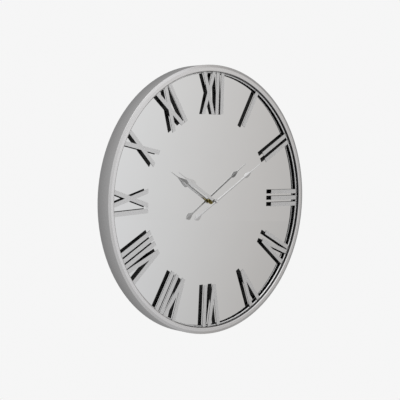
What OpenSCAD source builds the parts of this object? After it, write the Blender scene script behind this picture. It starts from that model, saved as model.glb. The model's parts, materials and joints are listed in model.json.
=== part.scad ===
// Round wall clock with a mirror dial, stand-off Roman numerals and a quartz movement.
// Lengths are in millimetres. The pieces are drawn about the dial's axis: x to the right,
// y from the front plane of the frame back to the wall, z up. Dial angles run clockwise
// from the top. Every node is then moved so that the origin is the hanger's seat on the wall.

/* [Frame] */
// Outer diameter of the hoop
frame_d = 600; // [540:5:700]
// Depth of the hoop from its front face to the wall
frame_depth = 37; // [37:0.5:60]
// Width of the front face
face_w = 15; // [10:0.5:24]
// Radius of the rolled inner edge of that face
roll_r = 2.5; // [1.6:0.1:4]
// Thickness of the frame's sheet metal
frame_sheet = 1.5; // [1:0.1:2.5]
// Width of the sloping outer part of the front face
bevel_w = 6; // [3:0.5:8]
// Drop of that slope at the hoop's edge
bevel_drop = 1.8; // [0.6:0.1:3]
// Radius on the edges of the frame
edge_r = 0.6; // [0.2:0.1:0.7]

/* [Numerals] */
// Depth of the numerals' front below the front of the frame
numeral_recess = 5.2; // [4:0.1:12]
// Thickness of the numerals' sheet metal
numeral_sheet = 1.2; // [0.8:0.1:2]
// Radial length of a numeral
numeral_length = 95; // [60:1:110]
// Width of a stroke
stroke_w = 9.8; // [6:0.2:11]
// Distance between the ends of the two arms of a V or an X
letter_spread = 30; // [22:0.5:32]
// Distance between a bar and the end of the arm beside it
letter_pitch = 11.5; // [10:0.5:16]
// Distance between bars in a numeral of two letters
wide_bar_pitch = 17; // [12:0.5:20]
// Distance between bars in a numeral of three letters
bar_pitch = 15; // [12:0.5:18]
// Distance between bars in a numeral of four letters
narrow_bar_pitch = 13.5; // [12:0.5:16]
// How far the numeral ring stands in from the edge of the front face
ring_show = 3.1; // [1.5:0.1:6]
// Thickness of the round inner edge of the numeral ring
ring_bead_d = 3; // [2:0.1:5]
// Turn of each numeral, from I to XII, away from its even place on the ring, in degrees
numeral_turn = [-0.6, 0, 0.4, 0, 0.4, 0.2, 0, 0.8, 1, -1.2, -2.2, -0.6];
// How far the outer ends of the bars in each numeral stand aside of their even places
bar_lean = [0, 0, 0, 0, 0, 4, 0, 0, -6.5, 0, 0, 0];
// How far the inner ends of those bars do
bar_foot = [0, 0, 0, 4.5, 0, 0, -1, 0, 0, 0, 0, 0];
// How far the point of the V in each numeral stands aside of the middle of its arms
point_shift = [0, 0, 0, 0, 0, 0, 4.5, 6, 0, 0, 0, 0];
// How far the inner end of each numeral is bent back towards the mirror
numeral_sag = [0, 0, 0, 0, 0, 0, 0, 0, 0, 0, 0, 3.7];

/* [Mirror and board] */
// Air between the back of the numerals and the mirror
mirror_gap = 6.7; // [5:0.1:9]
// Thickness of the mirror
mirror_t = 3; // [2:0.1:5]
// Thickness of the backing board
board_t = 4; // [3:0.1:6]
// Play of the mirror, board and spacers inside the hoop
edge_play = 1; // [0.5:0.1:2]
// Step from the edge of the front face out to the spacers' wall
wall_step = 1.2; // [0.4:0.1:2]
// Number of tabs that hold the board
tab_count = 6; // [4:1:10]
// Width of a tab
tab_w = 16; // [8:1:30]
// Reach of a tab over the board
tab_reach = 12; // [6:1:20]

/* [Hands] */
// Drop of the hands' axis below the centre of the frame
arbor_drop = 3; // [0:0.1:6]
// Length of the hour hand from the axis
hour_length = 128; // [110:1:140]
// Length of the minute hand from the axis
minute_length = 158; // [140:1:190]
// Thickness of the hands at the hub
hand_t = 1.8; // [1.4:0.1:2.4]
// Thickness of the hands at the edges of a leaf
hand_edge = 0.4; // [0.2:0.1:0.8]
// Height of the hour hand's middle above the mirror
hour_lift = 12.1; // [11:0.1:18]
// Distance from the hour hand to the minute hand
hand_spacing = 4.9; // [4.6:0.1:7]
// Outward tilt of the minute hand in degrees
minute_tilt = 2.3; // [0:0.1:3]
// Dial angle of the hour hand at rest
hour_angle = 301.2; // [0:0.1:360]
// Dial angle of the minute hand at rest
minute_angle = 58.2; // [0:0.1:360]
// Width of the hour hand's shaft
hour_shaft_w = 6.4; // [2:0.1:8]
// Width of the hour hand's leaf
hour_leaf_w = 17; // [8:0.5:20]
// Distance from the axis to the foot of the hour hand's leaf
hour_leaf_foot = 70; // [50:1:85]
// Length of the hour hand's leaf
hour_leaf_length = 35; // [15:1:40]
// Width of the minute hand's shaft
minute_shaft_w = 3.8; // [1.6:0.1:4]
// Width of the minute hand's leaf
minute_leaf_w = 12.5; // [6:0.5:16]
// Distance from the axis to the foot of the minute hand's leaf
minute_leaf_foot = 100; // [80:1:115]
// Length of the minute hand's leaf
minute_leaf_length = 25; // [12:1:28]
// Width of the needle beyond a leaf
needle_w = 1.6; // [0.6:0.1:2]
// Distance from the axis to the far end of the minute hand's tail
tail_length = 73; // [45:1:80]
// Length of the pear at the end of the tail
pear_length = 24; // [12:1:30]
// Width of that pear
pear_w = 16; // [8:0.5:18]

/* [Movement] */
// Diameter of the threaded bushing
bushing_d = 7.8; // [7:0.1:9]
// Pitch of its thread
thread_pitch = 0.75; // [0.5:0.05:1]
// Diameter of the hour tube
hour_tube_d = 5.2; // [4.8:0.1:5.6]
// Diameter of the minute arbor
minute_arbor_d = 3.2; // [2.8:0.1:3.4]
// Width of the hexagonal nut across its flats
nut_w = 10.8; // [10:0.1:13]
// Thickness of that nut
nut_t = 3; // [2:0.1:4]
// Diameter of the brass washer
washer_d = 14; // [13:0.5:20]
// Thickness of the rubber gasket behind the mirror
gasket_t = 1; // [0.5:0.1:2]
// Diameter of the battery
battery_d = 14.2; // [13.8:0.1:14.5]
// Length of the battery with its button
battery_length = 50.5; // [49.5:0.1:51]
// Wall thickness of the movement's case
case_wall = 1.2; // [1:0.1:1.6]
// Thickness of the movement's cover
cover_t = 1.4; // [1:0.1:1.6]
// Thickness of the wheels
wheel_t = 0.6; // [0.4:0.05:0.7]
// Axial clearance between one wheel and the next
level_gap = 0.5; // [0.4:0.05:0.6]
// Distance from the centre axis to the third wheel
third_distance = 11; // [10:0.1:11.5]
// Distance from the centre axis to the intermediate wheel
intermediate_distance = 8.75; // [8.2:0.05:9]
// Distance from the intermediate wheel to the rotor
rotor_distance = 7.5; // [7:0.05:8]
// Diameter of the setting knob
knob_d = 10; // [7:0.5:12]
// Thickness of the setting knob
knob_t = 1.8; // [1.2:0.1:2.2]

/* [Hanger] */
// Distance from the hoop's inside to the seat of the wall screw
hang_inset = 23.5; // [20:0.5:60]
// Radius of the keyhole's entry
entry_r = 4.5; // [4:0.1:6]
// Radius of the keyhole's slot and seat
seat_r = 2.5; // [1.5:0.1:3]
// Drop from the seat to the middle of the entry
entry_drop = 10; // [9:0.5:16]
// Width of the bracket between its legs
bracket_w = 52; // [30:1:80]
// Thickness of the bracket's sheet metal
bracket_sheet = 1.5; // [1:0.1:2.5]
// Width of each foot of the bracket
foot_w = 15; // [12:0.5:25]
// Diameter of the bracket's screws
screw_d = 3.8; // [3:0.1:4.5]

/* [Hidden] */
$fn = 96;
// Fits
running_gap = 0.05;
seat_gap = 0.05;
numeral_play = 0.3;
cut_over = 1;

// Radii of the frame and of what it holds
hoop_r = frame_d / 2;
hoop_in_r = hoop_r - frame_sheet;
face_in_r = hoop_r - face_w;
bevel_start_r = hoop_r - bevel_w;
bevel_angle = atan(bevel_drop / bevel_w);
roll_mid_r = face_in_r + roll_r;
wall_r = face_in_r + wall_step;
stack_r = hoop_in_r - edge_play;
ring_in_r = face_in_r - ring_show;
numeral_out_r = wall_r - numeral_play;
numeral_in_r = numeral_out_r - numeral_length;
edge = min(edge_r, frame_sheet * 0.45);
arc_steps = 4;
bead_steps = 14;

// Depths of the layers, counted from the front plane
face_back = frame_sheet;
numeral_front = numeral_recess;
ring_front = numeral_front + numeral_sheet;
bead_mid = ring_front + ring_bead_d / 2;
flange_front = bead_mid - numeral_sheet / 2;
flange_back = bead_mid + numeral_sheet / 2;
mirror_front = ring_front + mirror_gap;
mirror_back = mirror_front + mirror_t;
board_back = mirror_back + board_t;
case_front = mirror_back + gasket_t;

// Inner corner of the bent sheet where the flat meets the slope, and where the slope meets the side
bevel_back_r = bevel_start_r - frame_sheet * tan(bevel_angle / 2);
side_corner_y = face_back + (hoop_in_r - bevel_back_r) * tan(bevel_angle);
spacer_corner_y = face_back + (stack_r - bevel_back_r) * tan(bevel_angle);

// Hands and what carries them
hour_mid = mirror_front - hour_lift;
minute_mid = hour_mid - hand_spacing;
hour_front = hour_mid - hand_t / 2;
hour_back = hour_mid + hand_t / 2;
minute_front = minute_mid - hand_t / 2;
minute_back = minute_mid + hand_t / 2;
hour_collet_t = 1.6;
minute_collet_t = 1.4;
collet_wall = 1.6;
hub_margin = 3.2;
outline_steps = 12;
swell_power = 1.15;
hour_leaf_skew = 0.5;
minute_leaf_skew = 0.8;
pear_skew = 1.5;
cap_t = 2.4;
cap_wall = 0.5;
cap_side = 1.8;
cap_r = minute_arbor_d / 2 + cap_side;
cap_dome_r = 1.4;
hub_step = 0.4;
hub_lip = 0.1;
needle_taper = 0.5;
tube_end_play = 0.3;
tube_show = 1.8;
bushing_front = hour_back + hour_collet_t + tube_show;
tube_front = hour_front - tube_end_play;
arbor_front = minute_front - cap_t + cap_wall;
washer_t = 0.5;
nut_chamfer = 0.6;
thread_depth = 0.4;
mirror_hole_play = 1.1;
mirror_hole_r = bushing_d / 2 + mirror_hole_play;
gasket_r = 12;

// Numbers of teeth
cannon_teeth = 12;
motion_teeth = 36;
motion_pinion_teeth = 10;
hour_teeth = 40;
seconds_pinion_teeth = 8;
third_teeth = 60;
third_pinion_teeth = 8;
centre_teeth = 64;
intermediate_pinion_teeth = 8;
seconds_teeth = 48;
rotor_pinion_teeth = 8;
intermediate_teeth = 40;
pressure_angle = 20;
// Tooth heights and thinning, in modules
addendum = 0.75;
dedendum = 1.15;
thinning = 0.14;
pinion_lap = 0.15;

// Modules from the distances between axes
third_wheel_module = gear_module(third_distance, seconds_pinion_teeth, third_teeth);
centre_module = gear_module(third_distance, third_pinion_teeth, centre_teeth);
seconds_module = gear_module(intermediate_distance, intermediate_pinion_teeth, seconds_teeth);
intermediate_module = gear_module(rotor_distance, rotor_pinion_teeth, intermediate_teeth);
centre_tip_r = tip_radius(centre_teeth, centre_module);
knob_shaft_r = 0.9;
shaft_clearance = 1.08;
motion_distance = centre_tip_r + knob_shaft_r + shaft_clearance;
motion_module = gear_module(motion_distance, cannon_teeth, motion_teeth);
hour_module = gear_module(motion_distance, motion_pinion_teeth, hour_teeth);
hour_tip_r = tip_radius(hour_teeth, hour_module);

// Axes of the movement as [x, z]
third_direction = 60;
motion_direction = 150;
intermediate_direction = -20;
rotor_direction = 30;
centre_axis = [0, 0];
third_axis = polar(centre_axis, third_distance, third_direction);
motion_axis = polar(centre_axis, motion_distance, motion_direction);
intermediate_axis = polar(centre_axis, intermediate_distance, intermediate_direction);
rotor_axis = polar(intermediate_axis, rotor_distance, rotor_direction);

// Case of the movement: the battery bay lies below the wheels
bay_play = 0.6;
bay_h = battery_d + bay_play;
wheel_room = 0.8;
bay_top = -(hour_tip_r + wheel_room + case_wall);
contact_room = 1.55;
case_w = battery_length + 2 * contact_room + 2 * case_wall;
case_bottom = bay_top - bay_h - case_wall;
case_top = case_bottom + case_w;
case_depth = battery_d + case_wall + bay_play;
case_back = case_front + case_depth;
cover_front = case_back - cover_t;
case_inside = case_front + case_wall;
case_corner_r = 3;
case_in_corner_r = case_corner_r - case_wall;
window_play = 1;
bay_x = case_w / 2 - case_wall;
battery_axis = [case_front + case_wall + bay_play / 3 + battery_d / 2, bay_top - bay_h / 2];

// Levels of the train
plate_front = level(4);
plate_t = 1;
plate_back = plate_front + plate_t;
stator_front = rear_level(2);
stator_t = 1;
stator_back = stator_front + stator_t;
pivot_depth = 0.7;
pivot_r = 0.5;
boss_r = 1.5;
boss_h = 2.6;
post_r = 1.4;
plate_margin = 2.5;
hub_wall = 0.6;
spring_w = 1;
plate_left = -16;
plate_right = 17;
plate_low = bay_top + case_wall + plate_margin;
plate_high = 22.5;
pillar_r = 1.5;

// Motor: coil, core, stator and rotor
coil_r = 3;
coil_flange = 6.4;
coil_flange_t = 1;
coil_side_play = 0.8;
coil_x = bay_x - coil_side_play - coil_flange / 2;
coil_low = 4;
coil_high = 19.8;
core_w = 3;
core_t = 1;
core_low = -1;
core_high = 23.5;
coil_y = stator_front - core_t / 2;
bobbin_tube_r = 2.2;
magnet_r = 1.7;
magnet_gap = 0.3;
stator_margin = 2.5;
stator_low = -2;
stator_arm_low = 20.3;
stator_arm_high = 24;
stator_arm_w = 3;

// Circuit board
pcb_left = -26;
pcb_right = -13;
pcb_low = -8;
pcb_high = 20;
pcb_front = plate_back + level_gap;
pcb_t = 0.8;
pcb_back = pcb_front + pcb_t;
pcb_post_inset = 2;
chip_size = 5;
chip_t = 1;
chip_place = [-20, 2];
crystal_r = 1;
crystal_length = 6;
crystal_place = [-22, 12];
contact_t = 0.4;
button_r = 2.75;
button_t = 1.3;
contact_margin = 2;
contact_half = button_r + contact_margin;

// Hanger
seat_height = hoop_in_r - hang_inset;
bracket_back = frame_depth;
bracket_above = 10;
bracket_margin = 9;
bracket_below = entry_drop + entry_r + bracket_margin;
leg_h = bracket_back - board_back;
foot_screw_x = bracket_w / 2 + foot_w / 2;
foot_screw_inset = 8;
foot_screw_z = [seat_height + bracket_above - foot_screw_inset,
                seat_height - bracket_below + foot_screw_inset];
head_r = screw_d;
head_t = screw_d * 0.6;
head_crown_r = head_r * 0.8;
head_rim_t = head_t * 0.6;
slot_w = head_r * 0.3;
slot_half = head_r * 0.6;
slot_floor = head_t * 0.4;
board_skin = 0.4;
screw_grip = board_t - board_skin;
weld_h = 11;
tab_sheet = 1.2;

// Colours
silver_paint = [0.76, 0.76, 0.77];
black_paint = [0.07, 0.07, 0.08];
brass = [0.72, 0.6, 0.3];
steel = [0.62, 0.63, 0.65];
dark_plastic = [0.1, 0.1, 0.11];
pale_plastic = [0.85, 0.83, 0.76];

letters = [
    ["I"], ["I", "I"], ["I", "I", "I"], ["I", "V"], ["V"], ["V", "I"],
    ["V", "I", "I"], ["V", "I", "I", "I"], ["I", "X"], ["X"], ["X", "I"], ["X", "I", "I"]
];
hours = [1 : 12];

// Places and sizes worked out from others
function polar(from, distance, direction) = from + distance * [cos(direction), sin(direction)];
function gear_module(distance, teeth_a, teeth_b) = 2 * distance / (teeth_a + teeth_b);
function tip_radius(teeth, m) = (teeth / 2 + addendum) * m;
function level(i) = case_inside + level_gap + i * (wheel_t + level_gap);
function rear_level(i) = plate_back + level_gap + i * (wheel_t + level_gap);
function arc(centre, r, from, to, steps = arc_steps) =
    [for (i = [0 : steps]) centre + r * [cos(from + (to - from) * i / steps),
                                         sin(from + (to - from) * i / steps)]];

// Straight-flanked teeth that lie inside the involute of each gear
function involute(a) = tan(a) * 180 / PI - a;
function half_tooth(teeth, m, r) =
    let (base_r = teeth * m / 2 * cos(pressure_angle))
    90 / teeth - thinning / teeth * 180 / PI + involute(pressure_angle)
    - (r > base_r ? involute(acos(base_r / r)) : 0);
function on_circle(r, a) = r * [cos(a), sin(a)];
function gear_points(teeth, m) =
    let (root = (teeth / 2 - dedendum) * m, tip = tip_radius(teeth, m))
    [for (k = [0 : teeth - 1], corner = [[root, -1], [tip, -1], [tip, 1], [root, 1]])
        on_circle(corner[0], 360 * k / teeth + corner[1] * half_tooth(teeth, m, corner[0]))];

// Strokes of a numeral as [place at the inner end, place at the outer end] across the radius
function letter_width(letter) = letter == "I" ? 0 : letter_spread;
function pitch_between(word, i) =
    word[i] == "I" && word[i + 1] == "I"
        ? (len(word) == 2 ? wide_bar_pitch : len(word) == 3 ? bar_pitch : narrow_bar_pitch)
        : letter_pitch;
function letter_start(word, i) =
    i == 0 ? 0 : letter_start(word, i - 1) + letter_width(word[i - 1]) + pitch_between(word, i - 1);
function word_width(word) = letter_start(word, len(word) - 1) + letter_width(word[len(word) - 1]);
function letter_strokes(letter, hour) =
    letter == "I" ? [[bar_foot[hour - 1], bar_lean[hour - 1]]]
    : letter == "V" ? [for (arm = [0, letter_spread]) [letter_spread / 2 + point_shift[hour - 1], arm]]
    : [[letter_spread, 0], [0, letter_spread]];
function strokes(hour) =
    let (word = letters[hour - 1])
    [for (i = [0 : len(word) - 1], stroke = letter_strokes(word[i], hour))
        stroke + (letter_start(word, i) - word_width(word) / 2) * [1, 1]];

// Half outlines of the hands as [half width, distance from the axis]
function swell(t, skew) = pow(max(0, sin(180 * pow(t, skew))), swell_power);
function leaf_side(shaft_w, leaf_w, foot, leaf_length, skew) =
    [for (i = [0 : outline_steps])
        let (t = i / outline_steps)
        [shaft_w / 2 + (needle_w - shaft_w) / 2 * t + (leaf_w - shaft_w) / 2 * swell(t, skew),
         foot + leaf_length * t]];
function mirrored(side) = concat(side, [for (i = [len(side) - 1 : -1 : 0]) [-side[i][0], side[i][1]]]);

// Placing and basic solids
module at_dial() translate([0, -frame_depth, -seat_height]) children();
module at_arbor() at_dial() at_axis([0, -arbor_drop]) children();
module at_axis(axis) translate([axis[0], 0, axis[1]]) children();
module disc(r, y0, y1) translate([0, y0, 0]) rotate([-90, 0, 0]) cylinder(r = r, h = y1 - y0);
module plate(y0, y1) translate([0, y1, 0]) rotate([90, 0, 0]) linear_extrude(height = y1 - y0) children();
module revolve(points) rotate([-90, 0, 0]) rotate_extrude() polygon(points);
module slab(x0, x1, z0, z1, y0, y1) translate([x0, y0, z0]) cube([x1 - x0, y1 - y0, z1 - z0]);

module ring(r_in, r_out, y0, y1) {
    difference() {
        disc(r_out, y0, y1);
        disc(r_in, y0 - cut_over, y1 + cut_over);
    }
}

module rounded_rect(x0, x1, z0, z1, r) {
    translate([x0 + r, z0]) square([x1 - x0 - 2 * r, z1 - z0]);
    translate([x0, z0 + r]) square([x1 - x0, z1 - z0 - 2 * r]);
    for (x = [x0 + r, x1 - r], z = [z0 + r, z1 - r]) translate([x, z]) circle(r = r);
}

module gear(teeth, m, y0, y1, phase) plate(y0, y1) rotate(phase) polygon(gear_points(teeth, m));

// A wheel and the pinion it turns with share one arbor
module wheel_at_level(teeth, m, y, phase) gear(teeth, m, y, y + wheel_t, phase);
module pinion_at_level(teeth, m, y, phase) gear(teeth, m, y - pinion_lap, y + wheel_t + pinion_lap, phase);

// Frame

module frame_hoop() at_dial() color(silver_paint) {
    slope_end = 90 - bevel_angle;
    revolve(concat(
        arc([roll_mid_r, roll_r], roll_r, 180, 270),
        [[bevel_start_r, 0]],
        arc([hoop_r - edge, bevel_drop + edge * tan(slope_end / 2)], edge, -slope_end, 0),
        [
            [hoop_r, frame_depth],
            [hoop_in_r, frame_depth],
            [hoop_in_r, side_corner_y],
            [bevel_back_r, face_back]
        ],
        arc([roll_mid_r, roll_r], roll_r - frame_sheet, 270, 180)
    ));
}

module front_spacer() at_dial() color(black_paint) revolve([
    [wall_r, roll_r],
    [roll_mid_r, roll_r],
    [roll_mid_r, face_back],
    [bevel_back_r, face_back],
    [stack_r, spacer_corner_y],
    [stack_r, flange_front],
    [wall_r, flange_front]
]);

module rear_spacer() at_dial() color(black_paint) ring(wall_r, stack_r, flange_back, mirror_front);

// Dial

// A flange between the spacers, with a round inner edge that carries the numerals
module numeral_ring() at_dial() color(silver_paint) {
    bead_r = ring_bead_d / 2;
    flange_end = asin(numeral_sheet / ring_bead_d);
    revolve(concat(
        arc([ring_in_r + bead_r, bead_mid], bead_r, flange_end, 360 - flange_end, bead_steps),
        [[stack_r, flange_front], [stack_r, flange_back]]
    ));
}

module stroke_shape(stroke) {
    slope = (stroke[1] - stroke[0]) / numeral_length;
    far_r = numeral_out_r + cut_over;
    far = stroke[1] + slope * cut_over;
    polygon([
        [stroke[0] - stroke_w / 2, numeral_in_r],
        [stroke[0] + stroke_w / 2, numeral_in_r],
        [far + stroke_w / 2, far_r],
        [far - stroke_w / 2, far_r]
    ]);
}

// Turns a numeral about the inner edge of the ring's front
module sagging(sag)
    translate([0, ring_front, ring_in_r]) rotate([asin(sag / numeral_length), 0, 0])
        translate([0, -ring_front, -ring_in_r]) children();

// The strokes lie on the front of the ring
module numeral(hour) at_dial() rotate([0, 30 * hour + numeral_turn[hour - 1], 0]) color(silver_paint)
    sagging(numeral_sag[hour - 1]) intersection() {
        plate(numeral_front, ring_front) for (stroke = strokes(hour)) stroke_shape(stroke);
        disc(numeral_out_r, 0, mirror_front);
    }

module mirror_glass() at_dial() color([0.8, 0.82, 0.83]) difference() {
    disc(stack_r, mirror_front, mirror_back);
    at_axis([0, -arbor_drop]) disc(mirror_hole_r, mirror_front - cut_over, mirror_back + cut_over);
}

module backing_board() at_dial() color([0.45, 0.34, 0.22]) difference() {
    disc(stack_r, mirror_back, board_back);
    at_axis([0, -arbor_drop]) plate(mirror_back - cut_over, board_back + cut_over)
        rounded_rect(-case_w / 2 - window_play, case_w / 2 + window_play,
                     case_bottom - window_play, case_top + window_play, case_corner_r);
    for (x = [-foot_screw_x, foot_screw_x], z = foot_screw_z)
        at_axis([x, z])
            disc(screw_d / 2 + seat_gap, board_back - screw_grip - seat_gap, board_back + cut_over);
}

// Steel tabs welded to the inside of the hoop and folded over the board
module board_tabs() at_dial() color(steel) {
    tab_angle = tab_w / hoop_in_r * 180 / PI;
    for (i = [0 : tab_count - 1])
        rotate([0, 360 * (i + 0.5) / tab_count, 0])
            rotate([-90, 0, 0])
                rotate([0, 0, -90 - tab_angle / 2])
                    rotate_extrude(angle = tab_angle) polygon([
                        [hoop_in_r - tab_reach, board_back],
                        [hoop_in_r, board_back],
                        [hoop_in_r, board_back + weld_h],
                        [hoop_in_r - tab_sheet, board_back + weld_h],
                        [hoop_in_r - tab_sheet, board_back + tab_sheet],
                        [hoop_in_r - tab_reach, board_back + tab_sheet]
                    ]);
}

// Hanger

module hanger_bracket() at_dial() color(steel) {
    top = seat_height + bracket_above;
    bottom = seat_height - bracket_below;
    side = bracket_w / 2;
    difference() {
        slab(-side, side, bottom, top, bracket_back - bracket_sheet, bracket_back);
        at_axis([0, seat_height]) disc(seat_r, bracket_back - leg_h, bracket_back + cut_over);
        at_axis([0, seat_height - entry_drop]) disc(entry_r, bracket_back - leg_h, bracket_back + cut_over);
        slab(-seat_r, seat_r, seat_height - entry_drop, seat_height,
             bracket_back - leg_h, bracket_back + cut_over);
    }
    for (turn = [0, 1]) translate([0, 0, turn * (top + bottom)]) rotate([0, 180 * turn, 0]) difference() {
        union() {
            slab(side - bracket_sheet, side, bottom, top, board_back, bracket_back);
            slab(side - bracket_sheet, side + foot_w, bottom, top, board_back, board_back + bracket_sheet);
        }
        for (z = foot_screw_z)
            at_axis([foot_screw_x, z])
                disc(screw_d / 2 + seat_gap, board_back - cut_over, board_back + bracket_sheet + cut_over);
    }
}

module pan_screw(seat_y, grip) {
    disc(screw_d / 2, seat_y - grip, seat_y);
    difference() {
        union() {
            disc(head_r, seat_y, seat_y + head_rim_t);
            disc(head_crown_r, seat_y, seat_y + head_t);
        }
        for (turn = [0, 90]) rotate([0, turn, 0])
            slab(-slot_w / 2, slot_w / 2, -slot_half, slot_half,
                 seat_y + slot_floor, seat_y + head_t + cut_over);
    }
}

module hanger_screws() at_dial() color(steel) {
    for (x = [-foot_screw_x, foot_screw_x], z = foot_screw_z)
        at_axis([x, z]) pan_screw(board_back + bracket_sheet, screw_grip + bracket_sheet);
}

// Fixing of the movement to the mirror

module movement_gasket() at_arbor() color(black_paint)
    ring(bushing_d / 2 + seat_gap, gasket_r, mirror_back, case_front);

module brass_washer() at_arbor() color(brass)
    ring(bushing_d / 2 + seat_gap, washer_d / 2, mirror_front - washer_t, mirror_front);

module hex_nut() at_arbor() color(brass) {
    nut_back = mirror_front - washer_t;
    nut_front = nut_back - nut_t;
    corner_r = nut_w / 2 / cos(30);
    difference() {
        intersection() {
            translate([0, nut_front, 0]) rotate([-90, 0, 0]) cylinder(r = corner_r, h = nut_t, $fn = 6);
            revolve([
                [0, nut_front],
                [corner_r - nut_chamfer, nut_front],
                [corner_r + nut_chamfer, nut_front + nut_chamfer],
                [corner_r + nut_chamfer, nut_back],
                [0, nut_back]
            ]);
        }
        disc(bushing_d / 2 + seat_gap, nut_front - cut_over, nut_back + cut_over);
    }
}

module threaded_bushing() at_arbor() color(brass) {
    crest = bushing_d / 2;
    root = crest - thread_depth;
    bore = hour_tube_d / 2 + running_gap;
    turns = floor((mirror_front - bushing_front) / thread_pitch);
    revolve(concat(
        [[bore, bushing_front]],
        [for (i = [0 : turns - 1], side = [0, 1])
            [side == 0 ? root : crest, bushing_front + (i + side * 0.5) * thread_pitch]],
        [
            [root, bushing_front + turns * thread_pitch],
            [crest, bushing_front + (turns + 0.5) * thread_pitch],
            [crest, case_inside],
            [bore, case_inside]
        ]
    ));
}

// Movement

// Outline of the whole case, drawn in by an inset
module case_outline(inset) {
    rounded_rect(-case_w / 2 + inset, case_w / 2 - inset, case_bottom + inset, case_top - inset,
                 case_corner_r - inset);
}

// The part of the case above the battery bay
module above_bay(y0, y1) slab(-case_w, case_w, bay_top + case_wall, case_top + case_w, y0, y1);

module movement_case() at_arbor() color(dark_plastic) difference() {
    union() {
        difference() {
            plate(case_front, case_back) case_outline(0);
            intersection() {
                plate(case_inside, case_back + cut_over) case_outline(case_wall);
                above_bay(case_front, case_back + cut_over);
            }
            above_bay(cover_front, case_back + cut_over);
            slab(-bay_x, bay_x, bay_top - bay_h, bay_top, case_inside, case_back + cut_over);
        }
        for (x = [plate_left, plate_right], z = [plate_low, plate_high])
            at_axis([x, z]) disc(pillar_r, case_front + case_wall / 2, plate_front);
        for (z = [pcb_low + pcb_post_inset, pcb_high - pcb_post_inset])
            at_axis([pcb_left + pcb_post_inset, z]) disc(post_r, case_front + case_wall / 2, pcb_front);
        for (z = [coil_low + coil_flange_t / 2, coil_high - coil_flange_t / 2])
            slab(coil_x - post_r, coil_x + post_r, z - coil_flange_t / 2, z + coil_flange_t / 2,
                 case_front + case_wall / 2, coil_y - coil_flange / 2);
    }
    disc(bushing_d / 2 + seat_gap, case_front - cut_over, case_inside + cut_over);
    at_axis(third_axis)
        disc(pivot_r + running_gap, case_inside - pivot_depth - running_gap, case_inside + cut_over);
    at_axis(motion_axis)
        disc(knob_shaft_r + running_gap, case_inside - pivot_depth - running_gap, case_inside + cut_over);
}

// Carries the rear ends of the front train and the front ends of the motor's wheels
module middle_plate() at_arbor() color(pale_plastic) difference() {
    plate(plate_front, plate_back)
        rounded_rect(plate_left - plate_margin, plate_right + plate_margin,
                     plate_low - plate_margin, plate_high + plate_margin, plate_margin);
    disc(tip_radius(seconds_pinion_teeth, third_wheel_module) + level_gap,
         plate_front - cut_over, plate_back + cut_over);
    for (axis = [third_axis, intermediate_axis, rotor_axis])
        at_axis(axis) disc(pivot_r + running_gap, plate_front - cut_over, plate_back + cut_over);
    at_axis(motion_axis) disc(knob_shaft_r + running_gap, plate_front - cut_over, plate_back + cut_over);
}

module movement_cover() at_arbor() color(dark_plastic) difference() {
    union() {
        intersection() {
            plate(cover_front, case_back) case_outline(0);
            above_bay(cover_front, case_back);
        }
        for (axis = [centre_axis, intermediate_axis, rotor_axis])
            at_axis(axis) disc(boss_r, cover_front - boss_h, case_back - cover_t / 2);
        at_axis(motion_axis)
            ring(knob_shaft_r + boss_r, knob_shaft_r + 2 * boss_r, cover_front - boss_h / 2, case_back);
    }
    for (axis = [centre_axis, intermediate_axis, rotor_axis])
        at_axis(axis) disc(pivot_r + running_gap, cover_front - boss_h - cut_over, cover_front);
    at_axis(motion_axis) disc(knob_shaft_r + running_gap, cover_front - cut_over, case_back + cut_over);
}

module seconds_wheel() at_arbor() color(pale_plastic) {
    arbor_end = cover_front - running_gap;
    disc(pivot_r, level(2), arbor_end);
    pinion_at_level(seconds_pinion_teeth, third_wheel_module, level(3), third_direction);
    disc(pivot_r + boss_r / 3, level(3) + wheel_t, rear_level(0) + wheel_t);
    wheel_at_level(seconds_teeth, seconds_module, rear_level(0), intermediate_direction);
}

module third_wheel() at_arbor() color(pale_plastic) at_axis(third_axis) {
    disc(pivot_r, case_inside - pivot_depth, plate_back);
    pinion_at_level(third_pinion_teeth, centre_module, level(2), third_direction + 180);
    wheel_at_level(third_teeth, third_wheel_module, level(3), third_direction + 180 + 180 / third_teeth);
}

module centre_wheel() at_arbor() color(pale_plastic) difference() {
    wheel_at_level(centre_teeth, centre_module, level(2), third_direction + 180 / centre_teeth);
    disc(minute_arbor_d / 2 + running_gap, level(1), level(3));
}

// Friction spring between the centre wheel and the cannon pinion
module clutch_spring() at_arbor() color(steel)
    ring(minute_arbor_d / 2 + running_gap, minute_arbor_d / 2 + spring_w,
         level(1) + wheel_t + pinion_lap, level(2));

module intermediate_wheel() at_arbor() color(pale_plastic) at_axis(intermediate_axis) {
    disc(pivot_r, plate_back - pivot_depth, cover_front - running_gap);
    pinion_at_level(intermediate_pinion_teeth, seconds_module, rear_level(0),
                    intermediate_direction + 180 + 180 / intermediate_pinion_teeth);
    wheel_at_level(intermediate_teeth, intermediate_module, rear_level(1), rotor_direction);
}

module rotor() at_arbor() color(steel) at_axis(rotor_axis) {
    disc(pivot_r, plate_back - pivot_depth, cover_front - running_gap);
    pinion_at_level(rotor_pinion_teeth, intermediate_module, rear_level(1),
                    rotor_direction + 180 + 180 / rotor_pinion_teeth);
    disc(magnet_r, stator_front - magnet_gap / 2, stator_back + magnet_gap);
}

module stator() at_arbor() color(steel) {
    left = rotor_axis[0] - stator_margin;
    right = coil_x + core_w / 2;
    difference() {
        union() {
            slab(left, right, stator_low, rotor_axis[1] + stator_margin, stator_front, stator_back);
            slab(left, left + stator_arm_w, stator_low, stator_arm_high, stator_front, stator_back);
            slab(left, right, stator_arm_low, stator_arm_high, stator_front, stator_back);
        }
        at_axis(rotor_axis) disc(magnet_r + magnet_gap, stator_front - cut_over, stator_back + cut_over);
    }
}

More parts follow.
